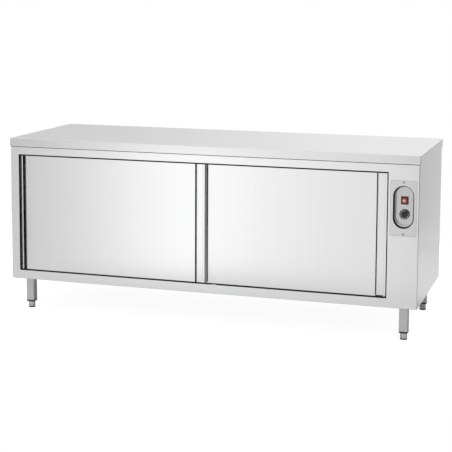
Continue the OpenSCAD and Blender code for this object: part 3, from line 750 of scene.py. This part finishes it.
def front_batt(lo, hi, deep, step):
    """Outline of the front door's wool, which fills the left lip and has a raked right end."""
    lip = lo.x + DOOR_LIP - 3 * SHEET
    rake = hi.x - RAKE
    return [[(lo.x, hi.y), (lo.x, lo.y), (lip, lo.y), (lip, deep), (lo.x + step, deep), (lo.x + step, lo.y),
             (rake - step, lo.y), (rake - step, deep), (rake - (hi.y - deep) / 3, deep), (rake, hi.y)]]


def rear_batts(lo, hi, deep, step):
    """Outlines of the rear door's wool, in two lengths."""
    x0, x1 = BATT_GAP
    return [[(lo.x, hi.y), (lo.x, deep), (lo.x + step, deep), (lo.x + step, lo.y), (x0, lo.y), (x0, hi.y)],
            [(x1, hi.y), (x1, lo.y), (hi.x - step, lo.y), (hi.x - step, deep), (hi.x, deep), (hi.x, hi.y)]]


def make_wool():
    """Wool inside each door, clear of its finger channels."""
    for side, batts in (("left", front_batt), ("right", rear_batts)):
        node = "door_%s_core" % side
        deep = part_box("door_%s_skin" % side)[0].y + PULL_DEPTH + EASE
        lo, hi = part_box(node)
        bm = bmesh.new()
        for outline in batts(lo, hi, deep, DOOR_LIP + PULL_W + SHEET):
            loft(bm, [[(x, y, z) for x, y in outline] for z in (lo.z, hi.z)])
        wool = new_object("door_%s_wool" % side, bm, [FINISH["mineral_wool"]])
        seat(wool, "door_" + side, "mineral_wool", node)


def make_door_skins():
    """Door faces folded from one sheet, with a finger channel along each end."""
    half = SHEET / 2
    wall = DOOR_LIP + PULL_W + half
    for side in ("left", "right"):
        node = "door_%s_skin" % side
        lo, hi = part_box(node)
        floor = lo.y + PULL_DEPTH - half
        end = [(half, hi.y), (half, lo.y + half), (DOOR_LIP - half, lo.y + half), (DOOR_LIP - half, floor),
               (wall, floor), (wall, lo.y + half)]
        path = [(lo.x + x, y) for x, y in end] + [(hi.x - x, y) for x, y in reversed(end)]
        outline = folded_sheet(path, SHEET, DOOR_FOLD)
        bm = bmesh.new()
        loft(bm, [[(x, y, z) for x, y in outline] for z in (lo.z, hi.z)])
        obj = new_object("door_%s_face" % side, bm, [FINISH["door_steel"]])
        keep_from_mirrors(obj)
        seat(obj, "door_" + side, "door_steel", node)


# Controls

def make_control_plate():
    """Flat plate round the well, and a fine black rim in the seam round the plate, as painted shade along the
    plate's edge.
    """
    lo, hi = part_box("control_plate")
    w, h = hi.x - lo.x, hi.z - lo.z
    x, z = (lo.x + hi.x) / 2, (lo.z + hi.z) / 2

    def loop(inset, y):
        return on_front(centred_rect(w - 2 * inset, h - 2 * inset, PLATE_CORNER), y, x, z)

    bm = bmesh.new()
    loft(bm, [loop(PLATE_SEAM, hi.y), loop(PLATE_SEAM, lo.y + EASE), loop(PLATE_SEAM + EASE, lo.y)])
    obj = new_object("control_panel", bm, [FINISH["plate_steel"]])
    cut(obj, front_cutter(stadium(WELL_W, WELL_H), lo.y - SHEET, hi.y + SHEET))
    seat(obj, "cabinet", "plate_steel", "control_plate")
    # A black rubber rim in the seam stands in for the shadow along the plate's edge, as painted shade
    rim = PLATE_SEAM / 2
    bm = bmesh.new()
    loft(bm, [loop(0, hi.y), loop(0, hi.y - rim), loop(rim, hi.y - rim), loop(rim, hi.y)], ring=True)
    seat(new_object("panel_shade_rim", bm, [FINISH["rubber"]]), "cabinet", "rubber")


def make_control_well():
    """Pressed steel pan with a sloped wall, and the black trim that lines its mouth."""
    rise = WELL_H - WELL_W
    behind = FRAME_Y + SHEET
    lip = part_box("well_trim")[0].y
    flange = WELL_HI.x - WELL_LO.x
    edge = WELL_MOUTH + SHEET

    def loop(w, y):
        return on_front(stadium(w, w + rise), y)

    loops = [loop(WELL_FOOT - 2 * WELL_FILLET * (1 - math.sin(a)),
                  WELL_FLOOR - WELL_FILLET * (1 - math.cos(a))) for a in angles(0, FILLET_TURN, FILLET_STEPS)]
    loops += [loop(WELL_MOUTH, lip + 2 * EASE), loop(edge, lip + 2 * EASE), loop(edge, behind),
              loop(flange, behind), loop(flange, behind + SHEET), loop(edge, behind + SHEET),
              loop(WELL_FOOT + 2 * SHEET, WELL_FLOOR - WELL_FILLET),
              loop(WELL_FOOT - 2 * WELL_FILLET, WELL_FLOOR + SHEET)]
    bm = bmesh.new()
    loft(bm, loops)
    bmesh.ops.recalc_face_normals(bm, faces=bm.faces)
    # The well's floor takes a darker copy of the steel, as painted shade in the recess
    for face in bm.faces:
        face.material_index = int(abs(face.normal.y) < WALL_FACING)
    pan = new_object("well_pan", bm, [FINISH["pan_shaded_steel"], FINISH["wall_steel"]])
    gap = centred_rect(SWITCH_W - 2 * BEZEL_EDGE, SWITCH_H - 2 * BEZEL_EDGE, EASE)
    switch, shaft = centre_of("switch_housing"), centre_of("thermostat_shaft")
    reach = WELL_FLOOR - SHEET, WELL_FLOOR + 3 * SHEET
    cut(pan, front_cutter(gap, *reach, switch.x, switch.z),
        front_cutter(circle(SHAFT_HOLE), *reach, shaft.x, shaft.z))
    seat(pan, "cabinet", "plate_steel", "control_well")

    fit = WELL_W - 2 * EASE
    lined = WELL_MOUTH - (WELL_MOUTH - WELL_FOOT) * TRIM_DEPTH / (WELL_FLOOR - lip)
    bm = bmesh.new()
    loft(bm, [loop(fit, behind), loop(fit, lip + EASE), loop(fit - EASE, lip), loop(WELL_MOUTH - EASE, lip),
              loop(WELL_MOUTH - 2 * EASE, lip + EASE), loop(lined - 2 * EASE, lip + TRIM_DEPTH),
              loop(lined, lip + TRIM_DEPTH), loop(edge, behind)], ring=True)
    seat(new_object("well_edge", bm, [FINISH["rubber"]]), "cabinet", "rubber", "well_trim")


def make_plate_screws():
    """Two pan heads with a cross recess, on washers."""
    lo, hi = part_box("plate_screws")
    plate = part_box("control_plate")[0].y
    head = (hi.x - lo.x) / 2
    shank, bore = head * 0.55, head * 0.9
    dome = plate - lo.y
    recess = plate - dome * 0.35
    x = (lo.x + hi.x) / 2
    heads, washers = bmesh.new(), bmesh.new()
    tools = []
    for z in (lo.z + head, hi.z - head):
        profile = [(shank, hi.y), (shank, plate)]
        profile += [(head * math.cos(a), plate - dome * math.sin(a))
                    for a in angles(0, DOME_TURN, DOME_STEPS)]
        loft(heads, [on_front(circle(r, SMALL_STEPS), y, x, z) for r, y in profile])
        washer = [(WASHER_R, plate), (WASHER_R, plate - EASE), (bore, plate - EASE), (bore, plate)]
        loft(washers, [on_front(circle(r, SMALL_STEPS), y, x, z) for r, y in washer], ring=True)
        for w, h in ((CROSS_W, CROSS_L), (CROSS_L, CROSS_W)):
            tools.append(front_cutter(centred_rect(w, h, CROSS_W / 4), lo.y - dome, recess, x, z))
    obj = cut(new_object("panel_screws", heads, [FINISH["screw_steel"]]), *tools)
    seat(obj, "cabinet", "screw_steel", "plate_screws")
    seat(new_object("screw_washers", washers, [FINISH["rubber"]]), "cabinet", "rubber")


def make_switch():
    """Black bezel and cup of the switch."""
    at = centre_of("switch_housing")
    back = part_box("switch_housing")[1].y
    face = WELL_FLOOR - BEZEL_T

    def loop(inset, r, y):
        return on_front(centred_rect(SWITCH_W - 2 * inset, SWITCH_H - 2 * inset, r), y, at.x, at.z)

    cup = BEZEL_EDGE + SWITCH_WALL
    loops = [loop(BEZEL_EDGE, CUP_CORNER, back), loop(BEZEL_EDGE, CUP_CORNER, WELL_FLOOR),
             loop(0, BEZEL_CORNER, WELL_FLOOR)]
    loops += [loop(BEZEL_CORNER * (1 - math.cos(a)), BEZEL_CORNER, face + BEZEL_CORNER * (1 - math.sin(a)))
              for a in angles(0, 90)]
    loops += [loop(cup - EASE, CUP_CORNER, face), loop(cup, CUP_CORNER, face + EASE),
              loop(cup, CUP_CORNER, back - SWITCH_WALL)]
    bm = bmesh.new()
    loft(bm, loops)
    case = new_object("switch_case", bm, [FINISH["black_plastic"]])
    seat(case, "cabinet", "black_plastic", "switch_housing")


def make_rocker():
    """Hollow-faced lens on its pivot, tilted to the on side, with a bar and a ring on its face."""
    half_w = SWITCH_W / 2 - BEZEL_EDGE - SWITCH_WALL - ROCKER_SIDE_GAP
    reach = SWITCH_H / 2 - BEZEL_EDGE - SWITCH_WALL - ROCKER_END_GAP
    rise = ROCKER_RISE
    half_h = math.sqrt(reach ** 2 - rise ** 2)
    tilt = Matrix.Rotation(ROCKER_TILT, 3, "X")
    at = centre_of("switch_housing")
    pivot = Vector((at.x, WELL_FLOOR - BEZEL_T + PIVOT_DEPTH, at.z))

    def dish(v):
        return -rise / 2 - rise / 2 * (v / half_h) ** 2

    def place(x, y, z):
        return pivot + tilt @ Vector((x, y, z))

    face = [(dish(v), v) for v in (half_h * (1 - 2 * i / DISH_STEPS) for i in range(DISH_STEPS + 1))]
    rear = [(rise, -half_h), (2 * rise, -half_h / 2), (2 * rise, half_h / 2), (rise, half_h)]

    def loop(x, inset):
        shrink = 1 - inset / half_h
        return [place(x, y + inset * (1 if y < 0 else -1), z * shrink) for y, z in face + rear]

    bm = bmesh.new()
    loft(bm, [loop(-half_w, ROCKER_EDGE), loop(ROCKER_EDGE - half_w, 0), loop(half_w - ROCKER_EDGE, 0),
              loop(half_w, ROCKER_EDGE)])
    loft(bm, [[pivot + Vector((x, u, v)) for u, v in circle(PIVOT_R, PIVOT_STEPS)]
              for x in (-half_w - PIVOT_PIN, half_w + PIVOT_PIN)])
    mark = half_h * MARK_SHARE
    bar = centred_rect(*BAR_MARK, BAR_MARK[0] / 3)
    loft(bm, [[place(u, dish(mark + v) + y, mark + v) for u, v in bar] for y in (-MARK_PROUD, MARK_PROUD)], 1)
    wide, bore = RING_MARK
    ring = [(wide, -MARK_PROUD), (bore, -MARK_PROUD), (bore, MARK_PROUD), (wide, MARK_PROUD)]
    loft(bm, [[place(u, dish(v - mark) + y, v - mark) for u, v in circle(r, SMALL_STEPS)]
              for r, y in ring], 1, ring=True)
    obj = new_object("rocker_lens", bm, [FINISH["red_lens"], MARK_PAINT])
    seat(obj, "rocker", "red_lens", "rocker")


def dial_turn(share):
    """Angle of a mark on the skirt, by its share of the dial's sweep."""
    return math.radians(DIAL_START + DIAL_SWEEP * share)


def make_knob():
    """Fluted thermostat knob with a pointer bar and a numbered skirt."""
    lo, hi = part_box("knob")
    at = Vector(((lo.x + hi.x) / 2, hi.y, (lo.z + hi.z) / 2))
    top = hi.y - lo.y
    grip = top - GRIP_DROP
    around = FLUTES * FLUTE_STEPS

    def loop(r, lift, depth=0.0):
        turns = [2 * math.pi * i / around for i in range(around)]
        radii = [r - depth * (0.5 - 0.5 * math.cos(FLUTES * t)) for t in turns]
        return [at + Vector((q * math.cos(t), -lift, q * math.sin(t))) for q, t in zip(radii, turns)]

    side, shoulder, crown = GRIP_TAPER
    loops = [loop(KNOB_R - EASE, 0), loop(KNOB_R, EASE), loop(KNOB_R, SKIRT_H - 2 * EASE),
             loop(KNOB_R - EASE, SKIRT_H - EASE / 2), loop(KNOB_R - 3 * EASE, SKIRT_H),
             loop(GRIP_R + EASE, SKIRT_H), loop(GRIP_R, SKIRT_H + EASE, FLUTE_DEPTH),
             loop(GRIP_R - side, grip - 3 * EASE, FLUTE_DEPTH),
             loop(GRIP_R - shoulder, grip - EASE, FLUTE_DEPTH / 2), loop(GRIP_R - crown, grip)]
    bm = bmesh.new()
    loft(bm, loops)
    bar_w, bar_l = POINTER_BAR
    bar = [(0, grip - EASE), (0, top - 3 * EASE), (EASE, top - EASE), (3 * EASE, top)]
    loft(bm, [on_front(centred_rect(bar_w - 2 * i, bar_l - 2 * i, bar_w / 2 - i - EASE), hi.y - y, at.x, at.z)
              for i, y in bar])
    line_w, line_l = POINTER_LINE
    loft(bm, [on_front(centred_rect(line_w, line_l, line_w / 3), hi.y - y, at.x, at.z + line_l / 2)
              for y in (top - MARK_PROUD, top)], 1)
    for i in range(TICKS + 1):
        turn = dial_turn(i / TICKS)
        length, half = SHORT_TICK if i % TICKS_A_NUMBER else LONG_TICK
        ray = Vector((math.cos(turn), 0, math.sin(turn)))
        across = Vector((-math.sin(turn), 0, math.cos(turn))) * half
        inner, outer = ray * (KNOB_R - length), ray * (KNOB_R - TICK_END)
        corners = [inner - across, outer - across, outer + across, inner + across]
        loft(bm, [[at + c + Vector((0, -y, 0)) for c in corners]
                  for y in (SKIRT_H - MARK_PROUD, SKIRT_H + MARK_PROUD)], 1)
    knob = new_object("thermostat_knob", bm, [FINISH["knob_plastic"], MARK_PAINT])
    seat(knob, "knob", "black_plastic", "knob")
    make_dial_numbers(at, SKIRT_H + MARK_PROUD)


def make_dial_numbers(at, lift):
    """Plain numbers round the knob's skirt, in the order that they come to the top."""
    radius = KNOB_R - NUMBER_INSET
    upright = Matrix.Rotation(math.pi / 2, 4, "X")
    bm = bmesh.new()
    for i, label in enumerate(NUMBERS):
        font = bpy.data.curves.new("digits", "FONT")
        font.body = label
        font.size = NUMBER_SIZE
        font.align_x = "CENTER"
        font.align_y = "CENTER"
        font.extrude = NUMBER_T
        font.offset = NUMBER_WEIGHT
        obj = bpy.data.objects.new("digits", font)
        scene.collection.objects.link(obj)
        mesh = finished_mesh(obj)
        turn = dial_turn(i / (len(NUMBERS) - 1))
        spin = Matrix.Rotation(turn - math.pi / 2, 4, "Z")
        middle = at + Vector((radius * math.cos(turn), -lift, radius * math.sin(turn)))
        mesh.transform(Matrix.Translation(middle) @ upright @ spin)
        bm.from_mesh(mesh)
        bpy.data.objects.remove(obj)
    bmesh.ops.remove_doubles(bm, verts=bm.verts, dist=MERGE)
    seat(new_object("dial_numbers", bm, [MARK_PAINT]), "knob", "black_plastic")


# Legs and feet

def make_legs():
    """Square tubes with round corners, welded under plates, and their black plugs."""
    lo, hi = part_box("legs")
    plug_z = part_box("foot_inserts")[0].z
    half = FOOT_AXES[0].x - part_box("foot_inserts")[0].x
    plate = FOOT_AXES[0].x - lo.x
    cap = hi.z - LEG_CAP

    def loop(axis, reach, r, z):
        return [axis + Vector((x, y, z)) for x, y in centred_rect(2 * reach, 2 * reach, r)]

    tubes, plugs = bmesh.new(), bmesh.new()
    for axis in FOOT_AXES:
        loft(tubes, [loop(axis, half, LEG_CORNER, lo.z), loop(axis, half, LEG_CORNER, cap - LEG_WELD),
                     loop(axis, half + LEG_WELD, LEG_CORNER + LEG_WELD, cap),
                     loop(axis, plate, LEG_CORNER, cap), loop(axis, plate, LEG_CORNER, hi.z)])
        loft(plugs, [loop(axis, half - PLUG_CHAMFER, LEG_CORNER, plug_z),
                     loop(axis, half, LEG_CORNER, plug_z + PLUG_CHAMFER), loop(axis, half, LEG_CORNER, lo.z)])
    seat(new_object("leg_tubes", tubes, [FINISH["leg_steel"]]), "cabinet", "leg_steel", "legs")
    plugs = new_object("leg_plugs", plugs, [FINISH["black_plastic"]])
    seat(plugs, "cabinet", "black_plastic", "foot_inserts")


def make_feet():
    """Turned feet with a dark pad, on a plain spindle."""
    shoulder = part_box("foot_inserts")[0].z - FOOT_GAP
    for node, axis in zip(FEET, FOOT_AXES):
        lo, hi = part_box(node)
        rim = (hi.x - lo.x) / 2
        r = rim - PAD_STEP
        turned = [(r - inset, PAD_H + rise) for inset, rise in FOOT_LOW]
        turned += [(r - inset, shoulder - drop) for inset, drop in FOOT_HIGH]
        turned += [(SPINDLE_R, shoulder), (SPINDLE_R, hi.z)]
        bm = bmesh.new()
        lathe(bm, axis, [(rim - inset, z) for inset, z in PAD_PROFILE], 1)
        lathe(bm, axis, turned)
        foot = new_object(node + "_turned", bm, [FINISH["foot_steel"], FINISH["rubber"]])
        seat(foot, node, "foot_steel", node)


# Studio

ROOM_SEEN = 1.0
ROOM_LIGHT = 0.7
FLOOR_GREY = 0.30
FLOOR_ROUGH = 0.9
FLOOR_SEEN = 0.89
FLOOR_X = 2.6
FLOOR_Y = (-1.25, 2.0)
# Floor levels seen in reflections, along y, with a painted shadow under the cupboard
FLOOR_MIRROR_SHADOW_LEVELS = [(-1.25, 0.40), (-0.32, 0.40), (-0.22, 0.12), (0.34, 0.12), (0.50, 0.52), (2.0, 0.52)]
LAMP_PLACE = Vector((0.2, -0.4, 4.2))
LAMP_SIZE = (3.5, 2.5)
LAMP_POWER = 120

# Cloth round the studio: levels by turns in degrees from the front, to the right
WALL_STOPS = [
    (-180, 0.93), (-172, 0.93), (-153, 0.66), (-120, 0.50), (-60, 0.45), (-36, 0.61), (-27.5, 0.86),
    (-19, 1.42), (-14, 1.12), (-9, 1.00), (0, 0.95), (5, 0.55), (9, 0.24), (20, 0.28), (30, 0.38),
    (55, 0.52), (105, 0.52), (125, 0.03), (150, 0.06), (160, 0.60), (166, 1.32), (173, 1.50), (180, 0.93)]
WALL_PEAK = 1.8
WALL_R = 7.5
WALL_Z = (-4.0, 3.5)
WALL_STEPS = 96


def make_camera():
    data = bpy.data.cameras.new("camera")
    data.sensor_width = SENSOR
    data.lens = FOCAL_PIXELS * SENSOR / PHOTO_PIXELS
    data.shift_y = HORIZON_SHIFT
    data.clip_end = CAMERA_REACH
    camera = bpy.data.objects.new("camera", data)
    level = math.cos(CAMERA_PITCH)
    ahead = Vector((-math.sin(CAMERA_YAW) * level, math.cos(CAMERA_YAW) * level, -math.sin(CAMERA_PITCH)))
    right = Vector((math.cos(CAMERA_YAW), math.sin(CAMERA_YAW), 0))
    up = right.cross(ahead)
    leaned = right * math.cos(CAMERA_ROLL) + up * math.sin(CAMERA_ROLL)
    axes = Matrix((leaned, leaned.cross(ahead), -ahead)).transposed()
    camera.matrix_world = Matrix.Translation(CAMERA_PLACE) @ axes.to_4x4()
    scene.collection.objects.link(camera)
    scene.camera = camera


def ray_masks(tree):
    """1 for rays from the camera, and 1 for rays from gloss or through glass, else 0."""
    path = tree.nodes.new("ShaderNodeLightPath")
    mirrored = math_node(tree, "MAXIMUM", path.outputs["Is Glossy Ray"], path.outputs["Is Transmission Ray"])
    return path.outputs["Is Camera Ray"], mirrored


def make_world():
    """White surroundings, with a softer level for the light on the object."""
    world = bpy.data.worlds.new("studio")
    world.use_nodes = True
    tree = world.node_tree
    tree.nodes.clear()
    mix = tree.nodes.new("ShaderNodeMixShader")
    for strength, socket in ((ROOM_LIGHT, mix.inputs[1]), (ROOM_SEEN, mix.inputs[2])):
        white = tree.nodes.new("ShaderNodeBackground")
        white.inputs["Color"].default_value = grey(1.0)
        white.inputs["Strength"].default_value = strength
        tree.links.new(white.outputs[0], socket)
    tree.links.new(math_node(tree, "MAXIMUM", *ray_masks(tree)), mix.inputs[0])
    tree.links.new(mix.outputs[0], tree.nodes.new("ShaderNodeOutputWorld").inputs["Surface"])
    scene.world = world


def make_floor():
    """Pale floor plate that takes the shadow and runs out into the white surroundings."""
    material, tree = new_material("studio_floor")
    shader = tree.nodes["Principled BSDF"]
    shader.inputs["Base Color"].default_value = grey(FLOOR_GREY)
    shader.inputs["Roughness"].default_value = FLOOR_ROUGH
    shader.inputs["Specular IOR Level"].default_value = 0.0
    shader.inputs["Emission Color"].default_value = grey(1.0)
    near, far = FLOOR_Y
    # In reflections the floor shows these levels, darker under the cupboard as painted shadow
    stops = [((y - near) / (far - near), grey(level)) for y, level in FLOOR_MIRROR_SHADOW_LEVELS]
    depth = colour_ramp(tree, share_of(tree, own_axes(tree)["Y"], FLOOR_Y), stops)
    seen, mirrored = ray_masks(tree)
    shown = math_node(tree, "ADD", math_node(tree, "MULTIPLY", seen, FLOOR_SEEN),
                      math_node(tree, "MULTIPLY", mirrored, depth))
    tree.links.new(shown, shader.inputs["Emission Strength"])
    bm = bmesh.new()
    bmesh.ops.create_grid(bm, x_segments=1, y_segments=1, size=1)
    for v in bm.verts:
        v.co = (v.co.x * FLOOR_X, FLOOR_Y[v.co.y > 0], 0)
    new_object("floor", bm, [material])


def make_studio_wall():
    """Grey and white cloth round the studio, which only reflections show."""
    material, tree = new_material("studio_wall")
    tree.nodes.clear()
    axes = own_axes(tree)
    turn = math_node(tree, "ARCTAN2", axes["X"], math_node(tree, "MULTIPLY", axes["Y"], -1.0))
    share = math_node(tree, "ADD", math_node(tree, "DIVIDE", turn, 2 * math.pi), 0.5)
    stops = [(angle / 360 + 0.5, grey(level / WALL_PEAK)) for angle, level in WALL_STOPS]
    light = tree.nodes.new("ShaderNodeEmission")
    light.inputs["Strength"].default_value = WALL_PEAK
    tree.links.new(colour_ramp(tree, share, stops), light.inputs["Color"])
    tree.links.new(light.outputs[0], tree.nodes.new("ShaderNodeOutputMaterial").inputs["Surface"])
    bm = bmesh.new()
    rows = []
    for a in angles(-180, 180, WALL_STEPS):
        rows.append([bm.verts.new((WALL_R * math.sin(a), -WALL_R * math.cos(a), z)) for z in WALL_Z])
    for a, b in zip(rows, rows[1:]):
        bm.faces.new((a[0], b[0], b[1], a[1]))
    wall = new_object("studio_wall", bm, [material])
    wall.visible_camera = False
    wall.visible_diffuse = False
    wall.visible_shadow = False
    wall.visible_transmission = False


def make_lamp():
    """One wide soft lamp overhead, aimed at the floor under the cupboard."""
    data = bpy.data.lights.new("overhead", "AREA")
    data.shape = "RECTANGLE"
    data.size, data.size_y = LAMP_SIZE
    data.energy = LAMP_POWER
    lamp = bpy.data.objects.new("overhead", data)
    lamp.location = LAMP_PLACE
    lamp.rotation_euler = (-LAMP_PLACE).to_track_quat("-Z", "Y").to_euler()
    keep_from_mirrors(lamp)
    scene.collection.objects.link(lamp)


make_camera()
dress_nodes()
make_worktop()
make_front_frame()
make_side_panels()
make_guide()
make_shade_strips()
make_wool()
make_door_skins()
make_control_plate()
make_control_well()
make_plate_screws()
make_switch()
make_rocker()
make_knob()
make_legs()
make_feet()
make_world()
make_floor()
make_studio_wall()
make_lamp()

scene.view_settings.view_transform = "Standard"
